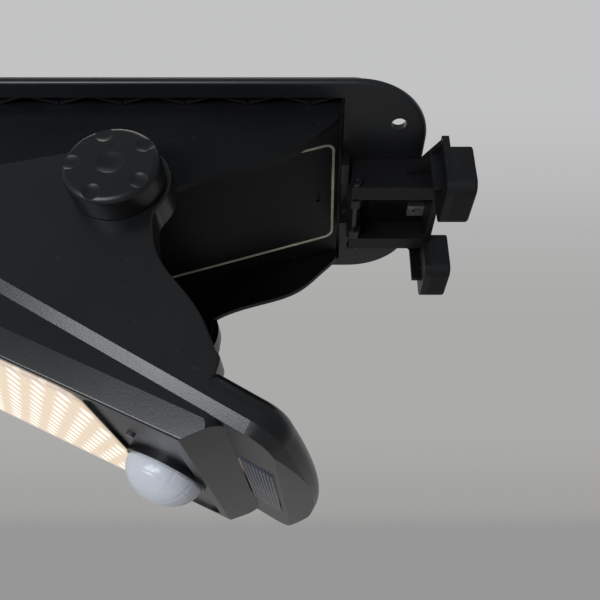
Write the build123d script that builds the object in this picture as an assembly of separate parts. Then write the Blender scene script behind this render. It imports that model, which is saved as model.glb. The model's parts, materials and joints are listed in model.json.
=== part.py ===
from build123d import *
import os
from math import cos, sin, tan, radians

# Wall-mounted solar flood light. Millimetres, +Z up, +Y towards the wall, X along the hinge axis.
# The origin is midway between the two wall screws, on the plane where the pads meet the wall.

# wall bracket
pad_gap = 34.0            # clear width between the two pads
pad_width = 25.0
pad_height = 20.4
pad_thick = 8.9
flange_thick = 2.9
flange_top = 16.0
wall_screw_x = 29.5       # each wall screw from the centre
wall_screw_r = 2.25
channel_half = 22.2       # half the outer width of the channel
channel_wall = 3.0
channel_lip = 8.0         # width of each lower lip
channel_low = 6.1
channel_front = -46.6
pin_y, pin_z = -44.8, 8.6
pin_r = 1.5
pin_play = 0.07

# solar panel tray
tray_under = 22.4         # height of its flat underside
tray_thick = 9.0
tray_half = 62.8
flange_plate = 2.8        # thickness of the thin flange round the raised middle
raised_half = 58.0
raised_back, raised_front = -36.0, -210.6
tray_back = -16.3
tray_length = 200.0
tray_corner = 29.6
web_under = 27.8          # ceiling of the underside recess
recess_half = 55.5
recess_back = -50.4
screw_hole_x, screw_hole_y = 41.8, -28.3
rib_pitch = 12.2          # half a period of the zigzag ribs
laminate_half = 56.0
laminate_back, laminate_front = -50.0, -209.0
laminate_floor = 29.2

# base body under the tray
base_half = 50.7
cheek_thick = 3.0
belly_slope = 18.0
belly_start_y, belly_start_z = -52.0, 22.0
wall = 2.2
cover_half = 31.6
cover_back, cover_front = -3.1, -89.4
seal_width = 1.1
cell_r, cell_length = 9.2, 65.0
cell_z = 18.0
cell_ys = (-108.0, -127.6)

# tilt hinge
hinge_y, hinge_z = -128.0, -23.9
stud_r = 3.0
stud_play = 0.08
knob_r = 16.0
knob_in, knob_out = 61.3, 71.0
hub_r = 17.8
notch_count = 5

# lamp head, drawn with the hinge axis at its origin and +Y along its length
head_pitch = -29.7
arm_in, arm_out = 51.1, 61.0
head_half = 61.0
head_front, head_back = -79.5, 92.0
head_bulge = 103.0
housing_top, parting = -39.8, -51.8
housing_wall = 2.4
bezel_front, bezel_back = -76.0, 77.0
bezel_half = 59.0
lean_height, lean = 7.9, 13.0   # the lower part of the bezel's sides leans inwards
face_pitch = 5.5
face_drop = -68.4         # depth of the face plane below the hinge axis
window_half = 54.5
window_front, window_back = -62.0, 34.2
lens_proud = 0.8
dome_r, dome_v, dome_height = 14.6, 51.7, 11.0
dome_seat = -1.4          # the dome's widest ring, a little proud of the face
bay_half, bay_back, bay_depth = 54.5, 65.4, 1.2
rear_lens_half, rear_lens_start, rear_lens_end = 27.0, 78.2, 91.2
led_pitch = 9.4

head_place = Pos(0, hinge_y, hinge_z) * Rot(head_pitch, 0, 0)
face_place = Pos(0, 0, face_drop) * Rot(face_pitch, 0, 0)
belly_place = Pos(0, belly_start_y, belly_start_z) * Rot(belly_slope, 0, 0)
os.makedirs("parts", exist_ok=True)


def block(x0, x1, y0, y1, z0, z1):
    """A box between the given limits."""
    return Pos((x0 + x1) / 2, (y0 + y1) / 2, (z0 + z1) / 2) * Box(x1 - x0, y1 - y0, z1 - z0)


def slab(half, y0, y1, z0, z1, corner):
    """A plate centred on X with rounded corners seen from above."""
    outline = Pos(0, (y0 + y1) / 2, z0) * RectangleRounded(2 * half, y1 - y0, corner)
    return extrude(outline, z1 - z0, dir=(0, 0, 1))


def rod(x0, x1, y, z, r):
    """A cylinder along X."""
    return Pos((x0 + x1) / 2, y, z) * Rot(0, 90, 0) * Cylinder(r, x1 - x0)


def post(x, y, z0, z1, r):
    """A cylinder along Z."""
    return Pos(x, y, (z0 + z1) / 2) * Cylinder(r, z1 - z0)


def side_plate(face_yz, x0, x1):
    """Extrudes an outline drawn in the YZ plane from x0 to x1."""
    return Pos(x0, 0, 0) * extrude(face_yz, x1 - x0, dir=(1, 0, 0))


def both(shape):
    """The shape and its mirror image across X = 0."""
    return shape + mirror(shape, about=Plane.YZ)


def write(shape, name):
    solids = shape.solids()
    body = solids[0] if len(solids) == 1 else Compound(children=list(solids))
    export_step(body, f"parts/{name}.step")


# ---- wall bracket: channel, flange and ears, moulded as one
def bracket_arm():
    low, top = channel_low, tray_under - 0.3
    body = block(-channel_half, channel_half, channel_front, -pad_thick, low, top)
    inner = channel_half - channel_wall
    slot = channel_half - channel_lip
    hollow_front, hollow_back = channel_front + 6.0, -pad_thick - flange_thick
    body -= block(-inner, inner, hollow_front, hollow_back, low + 3, top - 2.5)
    body -= block(-slot, slot, channel_front - 1, hollow_back, low - 1, top - 2.5)
    body -= block(-slot, slot, channel_front - 1, channel_front + 9, low - 1, top + 1)
    ear_x0 = pad_gap / 2
    ear_x1 = ear_x0 + pad_width
    ear = block(ear_x0, ear_x1, hollow_back, -pad_thick, -pad_height / 2, flange_top)
    ear = fillet(ear.edges().filter_by(Axis.Y).sort_by(Axis.Z)[:2], 5)
    gusset = Plane.XY.offset(flange_top - 3) * make_face(
        Polyline((channel_half - 0.5, -24), (ear_x1 - 1, hollow_back + 0.5),
                 (channel_half - 0.5, hollow_back + 0.5), close=True))
    ear += extrude(gusset, 2.6, dir=(0, 0, 1))
    ear += block(ear_x1 - 9, ear_x1 - 7, hollow_back - 4, hollow_back + 0.5, -4, flange_top - 2)
    ear -= Pos(wall_screw_x, -pad_thick - 2, 0) * Rot(90, 0, 0) * Cylinder(wall_screw_r, 12)
    body += both(ear)
    body -= rod(-30, 30, pin_y, pin_z, pin_r)
    return body


def wall_pads():
    x0 = pad_gap / 2
    pad = block(x0, x0 + pad_width, -pad_thick, 0, -pad_height / 2, pad_height / 2)
    pad = fillet(pad.edges().filter_by(Axis.Y).sort_by(Axis.Z)[:2], 5)
    pad = fillet(pad.faces().sort_by(Axis.Y)[-1].edges(), 1.2)
    pad -= Pos(wall_screw_x, -pad_thick / 2, 0) * Rot(90, 0, 0) * Cylinder(wall_screw_r, 20)
    return pad


bracket = bracket_arm()
write(bracket, "wall_bracket")
pad_right = wall_pads()
write(pad_right, "wall_pad_right")
write(mirror(pad_right, about=Plane.YZ), "wall_pad_left")

pin = rod(-24.6, 22.2, pin_y, pin_z, pin_r) + rod(22.2, 23.8, pin_y, pin_z, 2.3)
pin -= rod(23.2, 24, pin_y, pin_z, 1.2)
write(pin, "bracket_pin")
clip = rod(-23.4, -22.3, pin_y, pin_z, 2.7) - rod(-24, -22, pin_y, pin_z, pin_r)
write(clip, "pin_clip")

nut_plate = block(-11.2, -4.2, -19.5, -12.0, tray_under - 5.3, tray_under - 2.8)
nut_plate -= post(-7.7, -15.7, 10, 25, 1.7)
write(nut_plate, "nut_plate")


# ---- solar panel tray
def zigzag_ribs():
    """Thin ribs that cross the gap between rim and base body to and fro."""
    ribs = None
    count = int((recess_back - laminate_front - 14) / rib_pitch)
    for i in range(count):
        y = recess_back - 1 - i * rib_pitch
        lean = 1 if i % 2 else -1
        rib = Pos(53.4, y - rib_pitch / 2, (web_under + 23.6) / 2)
        rib = rib * Rot(0, 0, 18 * lean) * Box(1.0, rib_pitch, web_under - 23.6)
        ribs = rib if ribs is None else ribs + rib
    return ribs & block(51.0, recess_half + 0.5, laminate_front, recess_back + 0.5, 23.0, web_under)


def pin_lug(x0, x1):
    """A tongue that hangs from the tray to the bracket pin."""
    tongue = block(x0, x1, pin_y - 3.2, pin_y + 3.2, pin_z, tray_under + 0.5)
    tongue += rod(x0, x1, pin_y, pin_z, 3.2)
    tongue += block(x0, x1, pin_y - 5.0, pin_y + 3.2, tray_under - 4, tray_under + 0.5)
    return tongue - rod(x0 - 1, x1 + 1, pin_y, pin_z, pin_r + pin_play)


def panel_tray():
    front = tray_back - tray_length
    top = tray_under + tray_thick
    tray = slab(tray_half, front, tray_back, tray_under, tray_under + flange_plate, tray_corner)
    tray = fillet(tray.faces().sort_by(Axis.Z)[-1].edges(), 0.6)
    tray = fillet(tray.faces().sort_by(Axis.Z)[0].edges(), 1.3)
    raised = slab(raised_half, raised_front, raised_back, tray_under + 1.5, top, 11)
    tray += fillet(raised.faces().sort_by(Axis.Z)[-1].edges(), 0.8)
    recess = block(-recess_half, recess_half, front + 22, recess_back, tray_under - 1, web_under)
    recess += slab(recess_half, front + 9, recess_back - 30, tray_under - 1, web_under, 20.5)
    tray -= recess
    tray -= slab(laminate_half, laminate_front, laminate_back, laminate_floor, top + 1, 6)
    tray += both(zigzag_ribs())
    tray += both(pin_lug(8.6, 13.7))
    tray += both(block(14.2, 26.0, -51.0, -47.8, tray_under - 7.4, tray_under + 0.5))
    for side in (-1, 1):
        tray -= post(side * screw_hole_x, screw_hole_y, 10, 40, 3.0)
    for x, y, low in base_screws_at:
        tray += post(x, y, low + 2.4, web_under + 0.2, 3.2)
        tray -= post(x, y, low, web_under, 1.3)
    return tray


# x, y and belly height of the screws that hold the base body to the tray
def belly_height(y):
    return belly_start_z + (y - belly_start_y) * tan(radians(belly_slope))


base_screws_at = [(41.5 * side, y, z + wall) for side in (-1, 1)
                  for y, z in ((-74.0, belly_height(-74.0)), (-184.0, 13.0))]


# ---- base body: two cheeks with a sloping belly hung between them
def cheek_outline():
    top = web_under
    back = Line((-51.4, top), (-51.4, tray_under))
    sweep = Spline((-51.4, tray_under), (-57.0, 12.0), (-70.3, -0.9), (-92.0, -9.6), (-107.3, -15.3),
                   (hinge_y + 14.3, hinge_z + 4.6), tangents=((0.0, -1.0), (-1.0, -0.75)))
    boss = ThreePointArc((hinge_y + 14.3, hinge_z + 4.6), (hinge_y, hinge_z - 15.0),
                         (hinge_y - 14.3, hinge_z - 4.6))
    rise = Spline((hinge_y - 14.3, hinge_z - 4.6), (-158.0, -20.5), (-178.0, -9.5), (-192.0, 4.5),
                  (-199.0, tray_under), tangents=((-0.6, 0.8), (0.0, 1.0)))
    nose = Line((-199.0, tray_under), (-199.0, top))
    lid = Line((-199.0, top), (-51.4, top))
    return Plane.YZ * make_face([back, sweep, boss, rise, nose, lid])


def belly_outline(inset):
    """Side profile of the belly, moved inwards by inset and open at the top."""
    back, front = belly_start_y - inset, -198.0 + inset
    low = inset / cos(radians(belly_slope))
    return Plane.YZ * make_face(Polyline(
        (back, web_under + inset), (back, belly_height(back) + low), (-142.0, belly_height(-142.0) + low),
        (-149.0, -6.0 + low), (-178.0, 10.5 + low), (front, 19.0 + low), (front, web_under + inset),
        close=True))


def base_body():
    inner_x = base_half - cheek_thick
    body = side_plate(belly_outline(0), -inner_x - 0.5, inner_x + 0.5)
    body &= block(-60, 60, -220, -40, -60, web_under)
    body += both(side_plate(cheek_outline(), inner_x, base_half))
    body -= side_plate(belly_outline(wall), -inner_x, inner_x)
    # thick bosses for the tilt studs, with a hexagon pocket for each captive nut
    boss = rod(inner_x - 6, inner_x + 0.5, hinge_y, hinge_z, 12.0)
    boss += block(inner_x - 2.5, inner_x + 0.5, hinge_y - 5, hinge_y + 5, hinge_z, -2.0)
    body += both(boss)
    pocket = Pos(inner_x - 7, hinge_y, hinge_z) * Rot(0, 90, 0) * extrude(RegularPolygon(5.9, 6), 5.6)
    body -= both(pocket)
    body -= both(rod(inner_x - 8, base_half + 1, hinge_y, hinge_z, stud_r + stud_play))
    opening = belly_place * slab(cover_half + seal_width, cover_front - seal_width,
                                 cover_back + seal_width, -3, 3.5, 4.5)
    body -= opening
    for x, y, low in base_screws_at:
        body -= post(x, y, low - 12, low - 0.6, 3.1)
        body += post(x, y, low - 0.6, low + 1.0, 4.0) - post(x, y, low - 2, low + 3, 1.6)
        body -= post(x, y, low - 2, low + 2.39, 1.6)
    for x in (-21, 21):
        for y, low in ((-174, 9.5), (-146, -5.2)):
            body += post(x, y, low, 15.0, 2.4)
    return body


write(base_body(), "base_body")
write(panel_tray(), "panel_tray")

cover = slab(cover_half, cover_front, cover_back, 0.1, wall, 3.4)
cover -= block(-3.5, 3.5, cover_back - 7.2, cover_back - 5.6, -1, 0.8)
write(belly_place * cover, "battery_cover")
seal = slab(cover_half + seal_width, cover_front - seal_width, cover_back + seal_width, -0.35, 1.5, 4.5)
seal -= slab(cover_half, cover_front, cover_back, -2, 3, 3.4)
write(belly_place * seal, "cover_seal")

screws = None
for x, y, low in base_screws_at:
    screw = post(x, y, low - 2.4, low - 0.6, 2.8) + post(x, y, low - 0.6, web_under - 1.2, 1.3)
    screw -= block(x - 2, x + 2, y - 0.35, y + 0.35, low - 3, low - 1.6)
    screws = screw if screws is None else screws + screw
write(screws, "base_screws")

# ---- battery, holder and charge board inside the base body
cells = None
for y in cell_ys:
    cell = rod(-cell_length / 2, cell_length / 2, y, cell_z, cell_r)
    cell += rod(cell_length / 2, cell_length / 2 + 1.2, y, cell_z, 3.0)
    cells = cell if cells is None else cells + cell
write(cells, "battery_cells")
holder = block(-37.5, 37.5, -137.0, -104.0, 7.8, 8.7)
for x in (-24, 0, 24):
    holder += block(x - 2, x + 2, -137.0, -104.0, 8.7, 14.0)
for x in (-36.4, 36.4):
    holder += block(x - 1.1, x + 1.1, -137.0, -104.0, 8.7, 24.0)
for y in cell_ys:
    holder -= rod(-34.6, 34.6, y, cell_z, cell_r + 0.15)
write(holder, "battery_holder")
board = block(-25, 25, -178, -140, 15.0, 16.6)
write(board, "charge_board")
board_bits = block(-18, -8, -172, -162, 16.6, 19.0) + block(2, 8, -170, -164, 16.6, 20.6)
board_bits += block(12, 20, -160, -150, 16.6, 18.4) + post(-12, -150, 16.6, 24.0, 3.2)
write(board_bits, "charge_parts")

# ---- solar laminate on the tray
backing = slab(laminate_half - 0.6, laminate_front + 0.6, laminate_back - 0.6, laminate_floor,
               laminate_floor + 0.5, 5.4)
write(backing, "solar_backing")
cell_rows = 9
row_step = (laminate_back - laminate_front - 5) / cell_rows
strips = []
for i in range(cell_rows):
    y = laminate_front + 2.5 + i * row_step
    for x in (-53.4, 0.7):
        strips.append(block(x, x + 52.7, y + 0.5, y + row_step - 0.5, laminate_floor + 0.5, laminate_floor + 0.8))
write(Compound(children=strips), "solar_cells")
glass = slab(laminate_half - 0.6, laminate_front + 0.6, laminate_back - 0.6, laminate_floor + 0.8,
             laminate_floor + 2.0, 5.4)
write(glass, "solar_glass")
rim = slab(laminate_half, laminate_front, laminate_back, laminate_floor + 0.4, laminate_floor + 2.0, 6)
rim -= slab(laminate_half - 0.6, laminate_front + 0.6, laminate_back - 0.6, 20, 40, 5.4)
write(rim, "solar_seal")


# ---- tilt knobs with their studs, nuts and friction discs
def knob():
    """A round knob with radial finger notches round a centre dimple."""
    body = rod(knob_in, knob_out, 0, 0, knob_r)
    body = fillet(body.faces().sort_by(Axis.X)[-1].edges(), 2.4)
    # each notch is a shallow scoop that runs out through the rim
    scoop = Pos(knob_out + 5.2, 18.6, 0) * Rot(90, 0, 0) * Cylinder(6.0, 12.0)
    scoop += Pos(knob_out + 5.2, 12.6, 0) * Sphere(6.0)
    for i in range(notch_count):
        body -= Rot(36 + i * 360 / notch_count, 0, 0) * scoop
    dimple = Pos(knob_out + 11.4, 0, 0) * Sphere(12.3)
    body -= dimple
    body -= rod(knob_in - 1, knob_in + 5, 0, 0, stud_r)
    return body


def stud():
    shaft = rod(45.2, knob_in + 5, 0, 0, stud_r)
    return shaft


hinge_at = Pos(0, hinge_y, hinge_z)
knob_right = hinge_at * knob()
stud_right = hinge_at * stud()
nut = extrude(RegularPolygon(5.7, 6), 5.0)
nut -= Pos(0, 0, 2) * Cylinder(stud_r + stud_play, 12)
nut_right = hinge_at * (Pos(41.2, 0, 0) * Rot(0, 90, 0) * nut)
disc = hinge_at * (rod(50.8, 52.7, 0, 0, 9.0) - rod(50, 53, 0, 0, stud_r + stud_play))
washer = hinge_at * (rod(59.8, 61.0, 0, 0, 7.5) - rod(59, 62, 0, 0, stud_r + stud_play))
for name, shape in (("tilt_knob", knob_right), ("tilt_stud", stud_right), ("tilt_nut", nut_right),
                    ("friction_disc", disc), ("knob_washer", washer)):
    write(shape, name + "_right")
    write(mirror(shape, about=Plane.YZ), name + "_left")


# ---- lamp head, rear housing with its two arms
def housing_outline(inset):
    """Plan of the head: straight sides, a bulging end towards the wall, rounded corners."""
    half, front, back = head_half - inset, head_front + inset, head_back - inset
    lines = [Line((half, front), (half, back)),
             ThreePointArc((half, back), (0, head_bulge - inset), (-half, back)),
             Line((-half, back), (-half, front)), Line((-half, front), (half, front))]
    face = make_face(lines)
    face = fillet(face.vertices().group_by(Axis.Y)[-1], 11 - inset)
    return fillet(face.vertices().group_by(Axis.Y)[0], 14 - inset)


def arm_outline():
    """Side of one arm: hub at the top, a swept neck behind and a long straight slope in front."""
    back = Spline((17.7, -1.5), (19.8, -7.0), (27.7, -15.7), (55.3, -29.0), (64.6, -35.6), (67.9, -41.0),
                  tangents=((0.0, -1.0), (0.25, -1.0)))
    foot = Polyline((67.9, -41.0), (68.0, parting + 4), (-68.0, parting + 4), (-67.9, -41.0))
    front = Spline((-67.9, -41.0), (-65.0, -35.5), (-58.0, -30.0), tangents=((0.1, 1.0), (1.0, 0.94)))
    slope = Line((-58.0, -30.0), (-12.2, 13.0))
    top = Polyline((-12.2, 13.0), (0, 0), (17.7, -1.5))
    return Plane.YZ * make_face([back, foot, front, slope, top])


def rear_housing():
    shell = Pos(0, 0, parting) * extrude(housing_outline(0), housing_top - parting, dir=(0, 0, 1))
    shell = fillet(shell.faces().sort_by(Axis.Z)[-1].edges(), 5.5)
    sole = shell.faces().sort_by(Axis.Z)[0]
    shell = chamfer(sole.edges().filter_by(lambda e: e.center().Y < 60), 2.2, 3.6, reference=sole)
    # the end towards the wall is cut to a slope below
    slope = Pos(0, 93.2, parting) * Rot(24, 0, 0) * block(-70, 70, 0, 40, -20, 0)
    shell -= slope
    arm = side_plate(arm_outline(), arm_in, arm_out) + rod(arm_in, arm_out, 0, 0, hub_r)
    arm = fillet(arm.faces().sort_by(Axis.X)[-1].edges(), 0.8)
    web = Plane.YZ * make_face(Polyline((-20, -20), (22, -21), (50, -33), (50, -38), (-52, -38),
                                        (-52, -32), close=True))
    arm -= side_plate(web, arm_in - 1, arm_out - 3)
    arm -= rod(arm_in - 1, 52.7, 0, 0, 9.2)
    arm -= rod(59.8, arm_out + 3, 0, 0, 7.5)
    arm -= rod(arm_in - 1, arm_out + 3, 0, 0, stud_r + stud_play)
    shell += both(arm)
    # main cavity behind the bezel, and the small one behind the ribbed window
    shell -= slab(head_half - 3.2, bezel_front - 0.6, 74.2, parting - 1, housing_top - housing_wall, 11)
    shell -= slab(rear_lens_half - 1.5, 76.6, 90.2, parting - 1, housing_top - 4.4, 5)
    shell -= slab(rear_lens_half, rear_lens_start, rear_lens_end, parting - 1, parting + 1.6, 6.2)
    for x, y in head_screws_at:
        boss = post(x, y, parting, housing_top - 1, 4.2)
        shell += boss
        shell -= post(x, y, housing_top - 2.2, housing_top + 3, 3.1)
        shell -= post(x, y, parting - 1, housing_top, 1.7)
    return shell


head_screws_at = [(46 * side, y) for side in (-1, 1) for y in (-67.5, 69.0)]


# ---- lamp head, front bezel
def bezel_form(inset):
    """The bezel's outer form moved inwards by inset, as drawn in the face's own frame."""
    outline = Pos(0, 0.5, 0) * Rectangle(2 * (bezel_half - inset), bezel_back - bezel_front - 2 * inset)
    outline = fillet(outline.vertices().group_by(Axis.Y)[0], 12 - inset)
    outline = fillet(outline.vertices().group_by(Axis.Y)[-1], 5.5 - inset)
    lift = 3 if inset else 0
    form = Pos(0, 0, -90) * extrude(outline, 90 + parting + lift, dir=(0, 0, 1))
    form = face_place.inverse() * form
    form -= block(-80, 80, -120, 120, -60, inset)
    end = Pos(0, bezel_back, parting) * Rot(-39, 0, 0) * block(-80, 80, -inset, 60, -60, 60)
    cut = face_place.inverse() * (end & block(-80, 80, 0, 120, -100, 20))
    form -= cut
    if not inset:
        form -= both(Pos(bezel_half, 0, lean_height) * Rot(0, lean, 0) * block(0, 20, -130, 130, -40, 0))
    return form


def bezel():
    form = bezel_form(0)
    rim = form.edges().filter_by(lambda e: abs(e.center().Z) < 0.01)
    form = fillet(rim, 0.9)
    form -= bezel_form(housing_wall)
    form -= slab(window_half, window_front, window_back, -1, 4, 7)
    # sensor bay, a shallow recess with the dome's hole and a small light-sensor hole
    form -= slab(bay_half, window_back + 0.8, bay_back, -1, bay_depth, 6)
    form += slab(bay_half + 1, window_back - 0.0, bay_back + 1, bay_depth, 3.4, 6)
    form &= bezel_form(0)
    form -= post(0, dome_v, -1, 5, dome_r + 0.05)
    form -= post(27, 44, -1, 5, 1.6)
    for x, y in head_screws_at:
        spot = face_place.inverse() * post(x, y, -85, parting, 3.0)
        form += spot & bezel_form(1.0)
        form -= face_place.inverse() * post(x, y, -58.5, parting + 1, 1.3)
    form &= bezel_form(0)
    # dark collar that stands proud round the dome
    form += post(0, dome_v, dome_seat + 0.3, 3.4, dome_r + 1.0)
    return form - post(0, dome_v, -5, 5, dome_r + 0.05)


write(head_place * rear_housing(), "rear_housing")
in_face = head_place * face_place
write(in_face * bezel(), "front_bezel")

head_screws = None
for x, y in head_screws_at:
    screw = post(x, y, housing_top - 2.2, housing_top - 0.4, 2.8)
    screw += post(x, y, -57.5, housing_top - 2.2, 1.3)
    screw -= block(x - 1.8, x + 1.8, y - 0.35, y + 0.35, housing_top - 1.4, housing_top)
    head_screws = screw if head_screws is None else head_screws + screw
write(head_place * head_screws, "head_screws")

# ---- light engine: lens, reflector, LED board, heat spreader
lens = slab(window_half - 0.1, window_front + 0.1, window_back - 0.1, -lens_proud, housing_wall, 6.9)
lens = fillet(lens.faces().sort_by(Axis.Z)[0].edges(), 0.5)
lens += slab(window_half + 1.9, window_front - 2.0, window_back - 0.1, housing_wall, housing_wall + 1.2, 7)
write(in_face * lens, "led_lens")
reflector = slab(56.4, -64.0, 34.0, 3.7, 6.4, 6) - slab(54.2, -61.6, 31.6, 3, 7, 5)
write(in_face * reflector, "reflector")
led_board = slab(56.4, -64.0, 34.0, 6.4, 8.0, 6)
write(in_face * led_board, "led_board")
spreader = slab(55.0, -62.0, 32.0, 8.0, 9.4, 6)
write(in_face * spreader, "heat_spreader")
chips = []
for i in range(11):
    for j in range(19):
        if (i + j) % 2 == 0:
            x = (i - 5) * led_pitch
            v = -60.0 + 3.0 + j * led_pitch / 2
            if j < 19 and v < 30:
                chips.append(block(x - 1.75, x + 1.75, v - 1.4, v + 1.4, 5.6, 6.4))
write(in_face * Compound(children=chips), "leds")

# ---- motion sensor: dome, sensor can, its board
cap_r = (dome_r ** 2 + dome_height ** 2) / (2 * dome_height)
dome = Pos(0, dome_v, dome_seat - dome_height + cap_r) * Sphere(cap_r)
dome &= block(-30, 30, 20, 80, -20, dome_seat)
dome += post(0, dome_v, dome_seat, 4.4, dome_r)
inner = Pos(0, dome_v, dome_seat - dome_height + cap_r) * Sphere(cap_r - 1.1)
dome -= inner & block(-30, 30, 20, 80, -20, dome_seat)
dome -= post(0, dome_v, dome_seat - 0.01, 5, dome_r - 1.4)
write(in_face * dome, "sensor_dome")
can = post(0, dome_v, 2.6, 6.4, 4.6) + post(0, dome_v, 5.9, 6.4, 5.4)
write(in_face * can, "motion_sensor")
sensor_board = slab(24, 36.0, 62.5, 6.4, 7.8, 2)
write(in_face * sensor_board, "sensor_board")
light_sensor = post(27, 44, 0.2, 3.4, 1.5)
write(in_face * light_sensor, "light_sensor")

# ---- ribbed window in the end of the rear housing, with its small board
rear_lens = slab(rear_lens_half - 0.1, rear_lens_start + 0.1, rear_lens_end - 0.1, parting, parting + 1.6, 6.1)
for i in range(17):
    x = (i - 8) * 3.0
    rear_lens -= Pos(x, 84.7, parting) * Rot(90, 0, 0) * Cylinder(0.8, 9.0)
write(head_place * rear_lens, "ribbed_window")
rear_board = slab(24.5, 77.6, 89.2, -46.6, -45.6, 4)
write(head_place * rear_board, "rear_board")
rear_leds = [block(x - 1.4, x + 1.4, 82.0, 84.8, -47.4, -46.6) for x in (-15, -5, 5, 15)]
write(head_place * Compound(children=rear_leds), "rear_leds")

# ---- driver board in the rear housing
driver = block(-30, 30, -45, 20, -46.0, -44.4)
write(head_place * driver, "driver_board")
driver_bits = block(-20, -8, -30, -18, -49.6, -46.0) + block(6, 16, -36, -26, -48.4, -46.0)
driver_bits += block(-6, 8, -6, 6, -50.2, -46.0) + post(20, 8, -50.4, -46.0, 4.0)
write(head_place * driver_bits, "driver_parts")
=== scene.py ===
import bpy
import bmesh
import json
import math
import numpy as np
from mathutils import Euler, Matrix, Vector


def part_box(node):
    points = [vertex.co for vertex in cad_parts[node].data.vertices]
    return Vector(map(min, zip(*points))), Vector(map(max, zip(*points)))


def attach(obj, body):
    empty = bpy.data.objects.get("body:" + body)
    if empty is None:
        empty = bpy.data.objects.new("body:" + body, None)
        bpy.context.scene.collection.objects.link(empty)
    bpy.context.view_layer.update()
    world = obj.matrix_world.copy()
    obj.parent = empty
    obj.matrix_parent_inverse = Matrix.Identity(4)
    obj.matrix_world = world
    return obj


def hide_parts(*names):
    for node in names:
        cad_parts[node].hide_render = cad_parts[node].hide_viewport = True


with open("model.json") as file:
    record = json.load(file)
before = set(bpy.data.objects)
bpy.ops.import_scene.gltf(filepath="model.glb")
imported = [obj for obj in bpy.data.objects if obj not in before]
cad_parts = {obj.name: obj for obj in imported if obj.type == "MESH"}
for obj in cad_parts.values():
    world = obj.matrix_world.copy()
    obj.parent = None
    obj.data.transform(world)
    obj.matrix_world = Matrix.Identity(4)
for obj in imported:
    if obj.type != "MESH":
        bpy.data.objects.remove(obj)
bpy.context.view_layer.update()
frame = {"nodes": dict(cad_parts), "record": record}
print("frame loaded:", len(frame["nodes"]), "nodes")

# the lamp's two slopes: the head lies along headTilt, and its lit face is turned a little from it
headTilt, faceTilt = math.radians(-29.7), math.radians(-24.2)
hinge = np.array([0.0, -0.128, -0.0239])
faceDrop = -0.0684   # from the hinge to the lit face, square to the head


def tilted(x, y, z, angle, origin):
    # the point (x, y, z) of a frame turned by angle about the X axis, with its zero at origin
    return np.stack([x + origin[0] + 0 * y,
                     origin[1] + y * math.cos(angle) - z * math.sin(angle) + 0 * x,
                     origin[2] + y * math.sin(angle) + z * math.cos(angle) + 0 * x], axis=-1)


def onHead(x, y, z):
    return tilted(x, y, z, headTilt, hinge)


faceOrigin = onHead(0.0, 0.0, faceDrop)


def onFace(x, v, w):
    # v runs from the lamp's free end towards the wall, w goes into the head from its lit face
    return tilted(x, v, w, faceTilt, faceOrigin)


def shade(colour, factor):
    return (colour[0] * factor, colour[1] * factor, colour[2] * factor, 1.0)


class Flow:
    # wraps one socket of a node tree, so that sums on it add Math nodes
    def __init__(self, tree, socket=None):
        self.tree = tree
        self.socket = socket

    def node(self, nodeType, settings=None, sockets=None, out=0):
        made = self.tree.nodes.new(nodeType)
        for key, value in (settings or {}).items():
            setattr(made, key, value)
        for key, value in (sockets or {}).items():
            if isinstance(value, Flow):
                self.tree.links.new(value.socket, made.inputs[key])
            else:
                made.inputs[key].default_value = value
        return Flow(self.tree, made.outputs[out])

    def sums(self, kind, first, second=0.0):
        return self.node("ShaderNodeMath", {"operation": kind}, {0: first, 1: second})

    def __add__(self, other):
        return self.sums("ADD", self, other)

    def __radd__(self, other):
        return self.sums("ADD", other, self)

    def __sub__(self, other):
        return self.sums("SUBTRACT", self, other)

    def __rsub__(self, other):
        return self.sums("SUBTRACT", other, self)

    def __mul__(self, other):
        return self.sums("MULTIPLY", self, other)

    def __rmul__(self, other):
        return self.sums("MULTIPLY", other, self)

    def __pow__(self, other):
        return self.sums("POWER", self, other)

    def __abs__(self):
        return self.sums("ABSOLUTE", self)

    def least(self, other):
        return self.sums("MINIMUM", self, other)

    def most(self, other):
        return self.sums("MAXIMUM", self, other)

    def cycle(self, reach):
        # runs from 0 up to reach and back to 0, over and over
        return self.sums("PINGPONG", self, reach)

    def ramp(self, low, high):
        # smooth step from 0 to 1 as the value goes from low to high
        return self.node("ShaderNodeMapRange", {"interpolation_type": "SMOOTHSTEP"},
                         {"Value": self, "From Min": low, "From Max": high})

    def mix(self, first, second):
        # the socket is the share of the second colour
        return self.node("ShaderNodeMix", {"data_type": "RGBA"}, {0: self, 6: first, 7: second}, 2)

    def between(self, colour, dark, light):
        # noise keeps mostly to 0.3 to 0.7, and over that span the colour goes from its dark to its light share
        return self.ramp(0.3, 0.7).mix(shade(colour, dark), shade(colour, light))

    def stretch(self, scale):
        return self.node("ShaderNodeVectorMath", {"operation": "MULTIPLY"}, {0: self, 1: scale})

    def noise(self, scale, detail, rough):
        return self.node("ShaderNodeTexNoise", {}, {"Vector": self, "Scale": scale, "Detail": detail,
                                                    "Roughness": rough})

    def specks(self, scale):
        return self.node("ShaderNodeTexVoronoi", {}, {"Vector": self, "Scale": scale})

    def split(self, axis):
        return self.node("ShaderNodeSeparateXYZ", {}, {0: self}, axis)

    def bump(self, strength, distance):
        return self.node("ShaderNodeBump", {}, {"Height": self, "Strength": strength, "Distance": distance})


def newFinish(title, fixed):
    # one material: its fixed numbers on the shader, and the point on the object to build patterns from
    made = bpy.data.materials.new(title)
    made.use_nodes = True
    shader = made.node_tree.nodes["Principled BSDF"]
    for key, value in fixed.items():
        shader.inputs[key].default_value = value
    place = Flow(made.node_tree).node("ShaderNodeTexCoord", out="Object")
    return made, shader, place


def feed(shader, links):
    for key, flow in links.items():
        flow.tree.links.new(flow.socket, shader.inputs[key])


# In the dictionaries below a noise is (cells per metre, octaves, share of each next octave), a span is the pair of
# values between which a mask goes from 0 to 1, and a depth is in metres.

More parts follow.
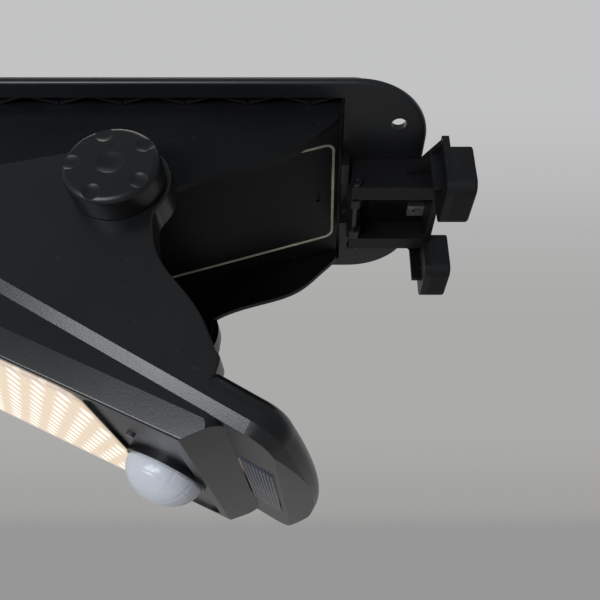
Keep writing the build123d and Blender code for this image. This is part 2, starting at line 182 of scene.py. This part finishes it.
# moulded plastic: spark-eroded grain, slow cloudiness of gloss, fine handling scuffs
plasticSkin = {"grainOctaves": (3.0, 0.6), "pitsToGrain": 1.3, "cloud": (22.0, 3.0, 0.55), "scuff": (95.0, 4.0, 0.7),
               "scuffRun": (1.0, 9.0, 3.0), "scuffSpan": (0.58, 0.78), "dust": (420.0, 2.0, 0.7),
               "dustSpan": (0.66, 0.8), "dustTone": (0.16, 0.155, 0.15, 1.0), "depth": 0.00006}


def mouldedPlastic(title, look):
    made, shader, place = newFinish(title, {"IOR": 1.5, "Specular IOR Level": look["shine"]})
    grain = place.noise(look["grain"], *plasticSkin["grainOctaves"])
    pits = place.specks(look["grain"] * plasticSkin["pitsToGrain"])
    cloud = place.noise(*plasticSkin["cloud"])
    scuff = place.stretch(plasticSkin["scuffRun"]).noise(*plasticSkin["scuff"]).ramp(*plasticSkin["scuffSpan"])
    dust = place.noise(*plasticSkin["dust"]).ramp(*plasticSkin["dustSpan"]) * look["dust"]
    tone = (cloud * 0.7 + grain * 0.3).between(look["colour"], 0.8, 1.25)
    tone = dust.mix(tone, plasticSkin["dustTone"])
    rough = look["rough"] + (cloud - 0.5) * 0.12 + scuff * 0.09 + dust * 0.2
    height = grain * 0.7 + pits * 0.3
    feed(shader, {"Base Color": tone, "Roughness": rough,
                  "Normal": height.bump(look["relief"], plasticSkin["depth"])})
    return made


# soft rubber: even matt skin with a fine grain and a soft mottling
rubberGrain = {"grain": (2600.0, 2.0, 0.6), "cloud": (60.0, 3.0, 0.6), "depth": 0.00005}


def rubberSkin(title, look):
    made, shader, place = newFinish(title, {"Specular IOR Level": 0.25})
    grain = place.noise(*rubberGrain["grain"])
    tone = place.noise(*rubberGrain["cloud"]).between(look["colour"], 0.75, 1.2)
    rough = look["rough"] + (grain - 0.5) * 0.1
    feed(shader, {"Base Color": tone, "Roughness": rough, "Normal": grain.bump(0.35, rubberGrain["depth"])})
    return made


# plated metal: drawn lines along one axis, clouded plating and small dull spots
plating = {"drawn": (900.0, 3.0, 0.6), "cloud": (120.0, 4.0, 0.6), "spots": (520.0, 3.0, 0.65),
           "spotSpan": (0.6, 0.72), "spotShade": 0.45, "depth": 0.00003}


def platedMetal(title, look):
    made, shader, place = newFinish(title, {"Specular IOR Level": 0.5})
    drawn = place.stretch(look["drawn"]).noise(*plating["drawn"])
    spots = place.noise(*plating["spots"]).ramp(*plating["spotSpan"])
    tone = place.noise(*plating["cloud"]).between(look["colour"], 0.82, 1.0)
    tone = (spots * 0.5).mix(tone, shade(look["colour"], plating["spotShade"]))
    rough = look["rough"] + (drawn - 0.5) * 0.16 + spots * 0.14
    metal = 1.0 - spots * 0.12
    feed(shader, {"Base Color": tone, "Roughness": rough, "Metallic": metal,
                  "Normal": drawn.bump(0.2, plating["depth"])})
    return made


# clear moulding: the body lets light through; at edges and glancing angles it turns opaque, partly its own gloss and
# partly its colour shown as a painted reflection
clearSkin = {"haze": (180.0, 3.0, 0.6), "flow": (46.0, 2.0, 0.5), "depth": 0.0004}


def clearMoulding(title, look):
    made, shader, place = newFinish(title, {"IOR": 1.5, "Specular IOR Level": 0.6})
    edge = place.node("ShaderNodeLayerWeight", {}, {"Blend": look["blend"]})
    haze = place.noise(*clearSkin["haze"])
    flow = place.noise(*clearSkin["flow"])
    tone = haze.between(look["colour"], 0.92, 1.0)
    # painted reflection: opacity rises at glancing angles, showing the moulding's colour there
    seen = (look["body"] + edge * look["rim"] + (haze - 0.5) * 0.04).least(1.0)
    rough = look["rough"] + (haze - 0.5) * 0.06
    feed(shader, {"Base Color": tone, "Alpha": seen, "Roughness": rough,
                  "Normal": flow.bump(0.15, clearSkin["depth"])})
    return made


# circuit board: solder mask with fine tracks crossing on a pitch, and small tinned pads
boardPrint = {"acrossPitch": 0.0011, "acrossSpan": (0.00072, 0.00078), "alongPitch": 0.0014,
              "alongSpan": (0.00102, 0.00108), "field": (210.0, 1.0, 0.4), "fieldSpan": (0.48, 0.54),
              "pads": 300.0, "padSpan": (0.26, 0.2), "tin": (0.75, 0.73, 0.68, 1.0), "depth": 0.00004}


def circuitBoard(title, look):
    made, shader, place = newFinish(title, {"Specular IOR Level": 0.5})
    across = place.split(0).cycle(boardPrint["acrossPitch"]).ramp(*boardPrint["acrossSpan"])
    along = place.split(1).cycle(boardPrint["alongPitch"]).ramp(*boardPrint["alongSpan"])
    keep = place.noise(*boardPrint["field"]).ramp(*boardPrint["fieldSpan"])   # tracks run only in these fields
    tracks = across.most(along) * keep
    pads = place.specks(boardPrint["pads"]).ramp(*boardPrint["padSpan"]) * (1.0 - keep)
    tone = tracks.mix(shade(look["colour"], 1.0), shade(look["track"], 1.0))
    tone = pads.mix(tone, boardPrint["tin"])
    rough = 0.34 - pads * 0.1 + tracks * 0.06
    feed(shader, {"Base Color": tone, "Roughness": rough, "Metallic": pads * 0.9,
                  "Normal": (tracks + pads).bump(0.3, boardPrint["depth"])})
    return made


# silicon cells: blue-black crystal patches, and silver finger lines on a pitch along the cell
cellPrint = {"patchRun": (1.0, 1.0, 0.2), "patch": 150.0, "crystal": (160.0, 4.0, 0.65), "crystalSpan": (0.25, 0.7),
             "silver": (0.62, 0.63, 0.64, 1.0), "depth": 0.00004}


def siliconCell(title, look):
    made, shader, place = newFinish(title, {"Coat Weight": 0.25, "Coat Roughness": 0.08})
    fingers = place.split(0).cycle(look["fingerPitch"] / 2).ramp(look["fingerWidth"], look["fingerWidth"] * 0.6)
    patch = place.stretch(cellPrint["patchRun"]).specks(cellPrint["patch"])
    crystal = place.noise(*cellPrint["crystal"])
    tone = (patch * 0.4 + crystal * 0.6).ramp(*cellPrint["crystalSpan"])
    tone = tone.mix(shade(look["colour"], 0.6), shade(look["colour"], 1.6))
    tone = fingers.mix(tone, cellPrint["silver"])
    rough = 0.3 + (crystal - 0.5) * 0.2 + fingers * 0.1
    feed(shader, {"Base Color": tone, "Roughness": rough, "Metallic": fingers * 0.8,
                  "Normal": (fingers + crystal * 0.3).bump(0.3, cellPrint["depth"])})
    return made


# glowing surface with a little mottling: for the LEDs it is their own light, for the white board it is painted light
# from the LEDs
def litSurface(title, look):
    made, shader, place = newFinish(title, {"Emission Strength": look["glow"], "Roughness": 0.4})
    mottle = place.noise(look["mottle"], 3.0, 0.6)
    tone = mottle.ramp(0.3, 0.7).mix(shade(look["low"], 1.0), shade(look["high"], 1.0))
    feed(shader, {"Base Color": tone, "Emission Color": tone, "Normal": mottle.bump(0.25, 0.0001)})
    return made


# lit window, all painted light: the lens itself glows in place of the LEDs' light behind it, with a painted
# highlight over each emitter and painted shade towards its sides; the emitters stand on a chequered grid, and each
# highlight is a smooth step of the distance to the nearest grid point, found by folding both coordinates
emitters = {"pitch": 0.0094, "firstRow": -0.057, "stretch": 0.34, "spot": 0.0021, "core": 0.0009}
windowSkin = {"body": (0.2, 0.17, 0.13, 1.0), "blotch": (330.0, 3.0, 0.6), "edgeSpan": (0.047, 0.0535),
              "prismPitch": 0.0006, "prismDepth": 0.3}


def litWindow(title, look):
    made, shader, place = newFinish(title, {"Emission Strength": look["glow"], "Roughness": 0.22, "IOR": 1.5,
                                            "Base Color": windowSkin["body"]})
    start = onFace(0.0, emitters["firstRow"], 0.0)
    pitch = emitters["pitch"]
    x = place.split(0)
    along = (place.split(1) - start[1]) * math.cos(faceTilt) + (place.split(2) - start[2]) * math.sin(faceTilt)
    foldX = x.cycle(pitch)
    nearA = (foldX * emitters["stretch"]) ** 2 + (along - pitch / 2).cycle(pitch / 2) ** 2
    nearB = ((pitch - foldX) * emitters["stretch"]) ** 2 + along.cycle(pitch / 2) ** 2
    far = nearA.least(nearB) ** 0.5
    # painted highlight over each LED
    spot = far.ramp(emitters["spot"], emitters["core"])
    blotch = place.noise(*windowSkin["blotch"])
    # painted shade: towards the window's sides the glow darkens to the rim tone and the highlights fade
    edge = abs(x).ramp(*windowSkin["edgeSpan"])
    tone = (blotch * 0.5 + 0.25).mix(shade(look["low"], 1.0), shade(look["mid"], 1.0))
    tone = edge.mix(tone, shade(look["rim"], 1.0))
    tone = (spot * (1.0 - edge * 0.7)).mix(tone, shade(look["high"], 1.0))
    prism = x.cycle(windowSkin["prismPitch"]) + along.cycle(windowSkin["prismPitch"])
    feed(shader, {"Emission Color": tone, "Normal": prism.bump(0.25, windowSkin["prismDepth"])})
    return made


# frosted white: fine frosting and a faint waxy cloud
frosting = {"frost": (1900.0, 3.0, 0.6), "cloud": (70.0, 3.0, 0.6), "waxDepth": 0.002, "depth": 0.00004}


def frostedWhite(title, look):
    made, shader, place = newFinish(title, {"Specular IOR Level": 0.45, "Subsurface Weight": look["wax"],
                                            "Subsurface Scale": frosting["waxDepth"]})
    frost = place.noise(*frosting["frost"])
    tone = place.noise(*frosting["cloud"]).between(look["colour"], 0.93, 1.0)
    rough = look["rough"] + (frost - 0.5) * 0.14
    feed(shader, {"Base Color": tone, "Roughness": rough, "Normal": frost.bump(0.3, frosting["depth"])})
    return made


# one finish for each material slot of the record
finishes = {
    "bracket_plastic": (mouldedPlastic, {"colour": (0.0042, 0.0042, 0.0045), "rough": 0.44, "shine": 0.3,
                                         "grain": 1500.0, "relief": 0.5, "dust": 0.12}),
    # shell plastic: the same black plastic, set darker than the bracket and head as painted shade, since the cheeks
    # lie in the panel's shadow
    "shell_plastic": (mouldedPlastic, {"colour": (0.0036, 0.0037, 0.0041), "rough": 0.45, "shine": 0.22,
                                       "grain": 1500.0, "relief": 0.5, "dust": 0.1}),
    "head_plastic": (mouldedPlastic, {"colour": (0.005, 0.0051, 0.0054), "rough": 0.3, "shine": 0.5,
                                      "grain": 1300.0, "relief": 0.35, "dust": 0.08}),
    "knob_plastic": (mouldedPlastic, {"colour": (0.0048, 0.0049, 0.0054), "rough": 0.36, "shine": 0.42,
                                      "grain": 1200.0, "relief": 0.6, "dust": 0.12}),
    "holder_plastic": (mouldedPlastic, {"colour": (0.03, 0.03, 0.03), "rough": 0.5, "shine": 0.4,
                                        "grain": 1500.0, "relief": 0.5, "dust": 0.1}),
    "board_parts": (mouldedPlastic, {"colour": (0.02, 0.02, 0.022), "rough": 0.45, "shine": 0.4,
                                     "grain": 1800.0, "relief": 0.4, "dust": 0.1}),
    "nylon": (mouldedPlastic, {"colour": (0.55, 0.53, 0.46), "rough": 0.45, "shine": 0.4,
                               "grain": 1600.0, "relief": 0.4, "dust": 0.0}),
    "battery_wrap": (mouldedPlastic, {"colour": (0.02, 0.12, 0.24), "rough": 0.25, "shine": 0.5,
                                      "grain": 600.0, "relief": 0.2, "dust": 0.0}),
    "cell_backing": (mouldedPlastic, {"colour": (0.7, 0.71, 0.72), "rough": 0.5, "shine": 0.4,
                                      "grain": 1400.0, "relief": 0.3, "dust": 0.0}),
    "white_plastic": (mouldedPlastic, {"colour": (0.82, 0.8, 0.76), "rough": 0.3, "shine": 0.5,
                                       "grain": 900.0, "relief": 0.2, "dust": 0.0}),
    "pad_rubber": (rubberSkin, {"colour": (0.0065, 0.0065, 0.007), "rough": 0.62}),
    "black_seal": (rubberSkin, {"colour": (0.01, 0.01, 0.01), "rough": 0.6}),
    "beige_seal": (rubberSkin, {"colour": (0.6, 0.55, 0.43), "rough": 0.65}),
    "steel": (platedMetal, {"colour": (0.66, 0.66, 0.65), "rough": 0.3, "drawn": (0.2, 1.0, 1.0)}),
    "zinc": (platedMetal, {"colour": (0.78, 0.77, 0.7), "rough": 0.42, "drawn": (1.0, 0.2, 1.0)}),
    "aluminium": (platedMetal, {"colour": (0.76, 0.76, 0.77), "rough": 0.36, "drawn": (0.2, 1.0, 1.0)}),
    "panel_glass": (clearMoulding, {"colour": (0.75, 0.8, 0.85), "body": 0.1, "rim": 0.6, "blend": 0.35,
                                    "rough": 0.08}),
    # the clear lens carries the painted glow of the LEDs behind it, with a darker rim tone as painted shade
    "clear_lens": (litWindow, {"low": (0.56, 0.43, 0.31), "mid": (0.76, 0.62, 0.47), "high": (1.0, 0.97, 0.86),
                               "rim": (0.5, 0.4, 0.34), "glow": 1.0}),
    "smoke_lens": (clearMoulding, {"colour": (0.06, 0.065, 0.085), "body": 0.8, "rim": 0.2, "blend": 0.4,
                                   "rough": 0.14}),
    "solar_cell": (siliconCell, {"colour": (0.006, 0.012, 0.05), "fingerPitch": 0.0016, "fingerWidth": 0.00011}),
    "green_board": (circuitBoard, {"colour": (0.01, 0.09, 0.03), "track": (0.03, 0.2, 0.06)}),
    # white board: its glow is painted light from the LEDs on it
    "white_board": (litSurface, {"low": (0.86, 0.68, 0.5), "high": (0.98, 0.86, 0.7), "glow": 0.55,
                                 "mottle": 160.0}),
    "led_warm": (litSurface, {"low": (1.0, 0.8, 0.5), "high": (1.0, 0.92, 0.74), "glow": 2.4, "mottle": 700.0}),
    "dome_plastic": (frostedWhite, {"colour": (0.56, 0.57, 0.61), "rough": 0.26, "wax": 0.15}),
}
finish = {name: maker(name, look) for name, (maker, look) in finishes.items()}

# three finishes that the record's slots don't tell apart
trayPlastic = mouldedPlastic("trayPlastic", {"colour": (0.0062, 0.0064, 0.0071), "rough": 0.36, "shine": 0.5,
                                             "grain": 1500.0, "relief": 0.45, "dust": 0.1})
# dark steel: on the pin and its clip the darkness is painted shade of the channel they sit in; the screws share it
shadeDarkSteel = platedMetal("shadeDarkSteel", {"colour": (0.09, 0.09, 0.095), "rough": 0.34, "drawn": (0.2, 1.0, 1.0)})
silverRibbon = platedMetal("silverRibbon", {"colour": (0.8, 0.81, 0.82), "rough": 0.34, "drawn": (1.0, 0.1, 1.0)})
print("finishes made:", len(finish) + 3)


def dress(piece, made):
    piece.data.materials.clear()
    piece.data.materials.append(made)


for part in frame["record"]["subparts"]:
    dress(frame["nodes"][part["node"]], finish[part["material_slot"]])
dress(frame["nodes"]["panel_tray"], trayPlastic)   # a little glossier than the base body below it
for name in ("bracket_pin", "pin_clip", "base_screws", "head_screws"):
    dress(frame["nodes"][name], shadeDarkSteel)   # darkened: on the pin and clip this is painted shade of the dark channel they sit in
print("carried-over nodes dressed")

weldGap = 2e-7   # points closer than this are one point: it closes poles and seams


# puts arrays of points, shaped (copies, rows, columns, 3), into one mesh of quads; a wrapped row closes on itself
def surface(title, points, material, body, wrap=False):
    copies, rows, columns, _ = points.shape
    index = np.arange(copies * rows * columns).reshape(copies, rows, columns)
    right = np.roll(index, -1, axis=2) if wrap else index[:, :, 1:]
    left = index if wrap else index[:, :, :-1]
    quads = np.stack([left[:, :-1], right[:, :-1], right[:, 1:], left[:, 1:]], axis=-1).reshape(-1, 4)
    mesh = bpy.data.meshes.new(title)
    mesh.from_pydata(points.reshape(-1, 3).tolist(), [], quads.tolist())
    bench = bmesh.new()
    bench.from_mesh(mesh)
    bmesh.ops.remove_doubles(bench, verts=bench.verts, dist=weldGap)
    bmesh.ops.recalc_face_normals(bench, faces=bench.faces)
    bench.to_mesh(mesh)
    bench.free()
    piece = bpy.data.objects.new(title, mesh)
    bpy.context.scene.collection.objects.link(piece)
    dress(piece, material)
    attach(piece, body)
    return piece


def smooth(piece, edgeAngle):
    piece.data.shade_smooth()
    bpy.context.view_layer.objects.active = piece
    piece.data.set_sharp_from_angle(angle=math.radians(edgeAngle))


# sensor dome: half an oval turned about its axis, (reach cos a cos t, reach cos a sin t, -tall sin a) for a height
# angle a and a turn t; reach and tall lose a little along the borders of the lens facets, which stand in rings with
# fewer of them in each next ring up
dome = {"radius": 0.0146, "centre": 0.0517, "base": -0.0014, "height": 0.0110, "wall": 0.0011, "skirt": 0.0058,
        "dip": 0.00022, "border": 0.86, "rings": 4, "facets": 12, "fewerPerRing": 3, "fadeAtTop": 0.3,
        "steps": 56, "innerSteps": 20, "around": 144}
turn = (np.arange(dome["around"]) * math.tau / dome["around"])[None, :]


def ringed(reach, depth):
    # rows of points round the dome's axis: (reach cos t, reach sin t, depth)
    return np.stack([reach * np.cos(turn), reach * np.sin(turn), depth + 0 * reach * turn])


climb = np.linspace(0.0, math.pi / 2, dome["steps"])[:, None]
ringPlace = climb / (math.pi / 2) * dome["rings"]
ringNumber = np.floor(np.minimum(ringPlace, dome["rings"] - 0.01))
count = np.maximum(dome["facets"] - dome["fewerPerRing"] * ringNumber, dome["fewerPerRing"])
cellU = np.abs((ringPlace - ringNumber) * 2 - 1)
cellV = np.abs(np.mod(turn / math.tau * count + 0.5 * ringNumber, 1.0) * 2 - 1)
groove = np.clip((np.maximum(cellU, cellV) - dome["border"]) / (1 - dome["border"]), 0, 1) ** 2
groove = groove * np.cos(climb) ** dome["fadeAtTop"]
reach = dome["radius"] - dome["dip"] * groove * np.cos(climb)
tall = dome["height"] - dome["dip"] * groove * np.sin(climb)
fall = np.linspace(math.pi / 2, 0.0, dome["innerSteps"])[:, None]
innerReach, innerTall = dome["radius"] - dome["wall"], dome["height"] - dome["wall"]
shell = np.concatenate([ringed(innerReach * np.cos(fall), -innerTall * np.sin(fall)),
                        ringed(np.array([[innerReach], [dome["radius"]]]), dome["skirt"]),
                        ringed(reach * np.cos(climb), -tall * np.sin(climb))], axis=1)
facetDome = surface("facet_dome", onFace(shell[0], dome["centre"] + shell[1], dome["base"] + shell[2])[None],
                    finish["dome_plastic"], "lamp_head", wrap=True)
smooth(facetDome, 50)
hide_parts("sensor_dome")
print("sensor dome done")


# ribbed window: a closed bar whose outer skin is a row of half-round ribs along X, each rib's height being
# sqrt(1 - u squared) for u from -1 to 1 across it; the bar's two ends taper back to its flat inner side
ribbed = {"half": 0.0269, "front": 0.0783, "back": 0.0911, "skin": -0.0518, "depth": 0.0016, "ribs": 9,
          "rise": 0.00063, "stepsPerRib": 10}
# along X: (share of the half length, share of the ribs' rise, share of the depth)
stations = np.array([(-1, 0, 1), (-1, 0, 0.2), (-0.97, 1, 0), (0, 1, 0), (0.97, 1, 0), (1, 0, 0.2), (1, 0, 1)])
alongX, ribShare, deepShare = stations.T[:, :, None]
across = np.linspace(-1.0, 1.0, ribbed["ribs"] * ribbed["stepsPerRib"] + 1)
ribU = np.mod((across + 1) * ribbed["ribs"] / 2, 1.0) * 2 - 1
crest = np.sqrt(np.clip(1 - ribU ** 2, 0, 1)) * ribbed["rise"]
midWay, halfWide = (ribbed["front"] + ribbed["back"]) / 2, (ribbed["back"] - ribbed["front"]) / 2
skin = np.stack([ribbed["half"] * alongX + 0 * across, midWay + halfWide * across + 0 * alongX,
                 ribbed["skin"] - ribShare * crest + deepShare * ribbed["depth"]])
inside = ribbed["skin"] + ribbed["depth"]
firstSide, lastSide = skin[:, :, :1].copy(), skin[:, :, -1:].copy()
firstSide[2], lastSide[2] = inside, inside
skin = np.concatenate([firstSide, skin, lastSide], axis=2)
backFace = skin[:, ::-1].copy()
backFace[2] = inside
closed = np.concatenate([skin, backFace[:, 1:]], axis=1)
ribbedBar = surface("ribbed_bar", onHead(closed[0], closed[1], closed[2])[None], finish["smoke_lens"], "lamp_head")
smooth(ribbedBar, 40)
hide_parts("ribbed_window")
print("ribbed window done")


# tinned ribbons over the cells: a low arch, 1 - u squared high for u from -1 to 1 across it, carried along Y with a
# slow wave of solder; one pair for each half of the panel
ribbons = {"places": (-0.0402, -0.0137, 0.0137, 0.0402), "half": 0.0009, "rise": 0.00014, "end": 0.001,
           "wave": 0.18, "waveRate": 900.0, "steps": 60}
cellLow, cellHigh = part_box("solar_cells")
arch = np.linspace(-1.0, 1.0, 7)
runY = np.linspace(cellLow.y + ribbons["end"], cellHigh.y - ribbons["end"], ribbons["steps"])[None, :, None]
rowX = np.array(ribbons["places"])[:, None, None]
solder = 1 + ribbons["wave"] * np.sin(runY * ribbons["waveRate"])
points = np.stack([rowX + ribbons["half"] * arch + 0 * runY, runY + 0 * rowX + 0 * arch,
                   cellHigh.z + ribbons["rise"] * (1 - arch ** 2) * solder + 0 * rowX], axis=-1)
cellRibbons = surface("cell_ribbons", points, silverRibbon, "panel")
smooth(cellRibbons, 60)
print("cell ribbons done")


# stage: pale floor, glowing backdrop that darkens downwards in bands of painted shade, each a (span of heights,
# colour above it)
stage = {"floor": -1.1, "floorHalf": 6.0, "wall": -1.5, "wallHalf": 5.0, "wallTop": 5.0, "fleck": (30.0, 4.0, 0.6),
         "floorTones": ((0.66, 0.66, 0.65, 1), (0.7, 0.7, 0.69, 1)), "lowTone": (0.312, 0.309, 0.309, 1),
         "bands": (((0.125, 0.19), (0.362, 0.358, 0.35, 1)), ((0.16, 0.42), (0.408, 0.406, 0.4, 1)),
                   ((0.7, 1.75), (0.545, 0.548, 0.555, 1))),
         "roomTone": (0.86, 0.92, 1.0, 1.0), "roomPower": 0.26}


def board(title, corners, made):
    mesh = bpy.data.meshes.new(title)
    mesh.from_pydata(corners, [], [(0, 1, 2, 3)])
    piece = bpy.data.objects.new(title, mesh)
    bpy.context.scene.collection.objects.link(piece)
    dress(piece, made)


floorPaint, shader, place = newFinish("floorPaint", {"Roughness": 0.85, "Specular IOR Level": 0.2})
feed(shader, {"Base Color": place.noise(*stage["fleck"]).ramp(0.3, 0.7).mix(*stage["floorTones"])})
paintedWallLight, shader, place = newFinish("paintedWallLight", {"Base Color": (0, 0, 0, 1), "Roughness": 1.0,
                                                   "Specular IOR Level": 0.0, "Emission Strength": 1.0})
height = place.split(2)
tone = stage["lowTone"]
# painted shade: the backdrop's glow darkens towards the floor
for span, above in stage["bands"]:
    tone = height.ramp(*span).mix(tone, above)
feed(shader, {"Emission Color": tone})
low, side, wall, wide = stage["floor"], stage["floorHalf"], stage["wall"], stage["wallHalf"]
board("floor", [(-side, -side, low), (side, -side, low), (side, side, low), (-side, side, low)], floorPaint)
board("backdrop", [(wall, -wide, low), (wall, wide, low), (wall, wide, stage["wallTop"]),
                   (wall, -wide, stage["wallTop"])], paintedWallLight)

world = bpy.context.scene.world or bpy.data.worlds.new("roomLight")
bpy.context.scene.world = world
world.use_nodes = True
world.node_tree.nodes["Background"].inputs["Color"].default_value = stage["roomTone"]
world.node_tree.nodes["Background"].inputs["Strength"].default_value = stage["roomPower"]

# soft lights: a wide one overhead, and one below on the right that draws the head's bevel
lights = {
    "topLight": {"place": (-0.2, -0.3, 1.1), "target": (0, -0.1, 0), "size": (1.0, 1.0), "power": 7.0,
                 "colour": (1.0, 0.98, 0.95)},
    "bevelLight": {"place": (0.70, -0.53, -0.38), "target": (0.05, -0.16, -0.08), "size": (0.7, 0.3), "power": 6.8,
                   "colour": (0.9, 0.95, 1.0)},
}
for title, light in lights.items():
    lamp = bpy.data.lights.new(title, "AREA")
    lamp.shape = "RECTANGLE"
    lamp.size, lamp.size_y = light["size"]
    lamp.energy = light["power"]
    lamp.color = light["colour"]
    holder = bpy.data.objects.new(title, lamp)
    bpy.context.scene.collection.objects.link(holder)
    holder.location = light["place"]
    aim = Vector(light["target"]) - Vector(light["place"])
    holder.rotation_euler = aim.to_track_quat("-Z", "Y").to_euler()

# camera: beside the lamp and below it, looking across it along -X and upwards
view = {"place": (0.2263, -0.0592, -0.1640), "upwards": 29.703, "lens": 37.8, "sensor": 36.0, "shift": -0.0367,
        "near": 0.01}
eye = bpy.data.cameras.new("camera")
eye.sensor_width = view["sensor"]
eye.lens = view["lens"]
eye.shift_x = view["shift"]
eye.clip_start = view["near"]
camera = bpy.data.objects.new("camera", eye)
bpy.context.scene.collection.objects.link(camera)
turned = Euler((math.radians(90 + view["upwards"]), 0.0, math.radians(90)))
camera.matrix_world = Matrix.Translation(view["place"]) @ turned.to_matrix().to_4x4()
bpy.context.scene.camera = camera
bpy.context.scene.view_settings.view_transform = "Standard"
print("stage, lights and camera ready")
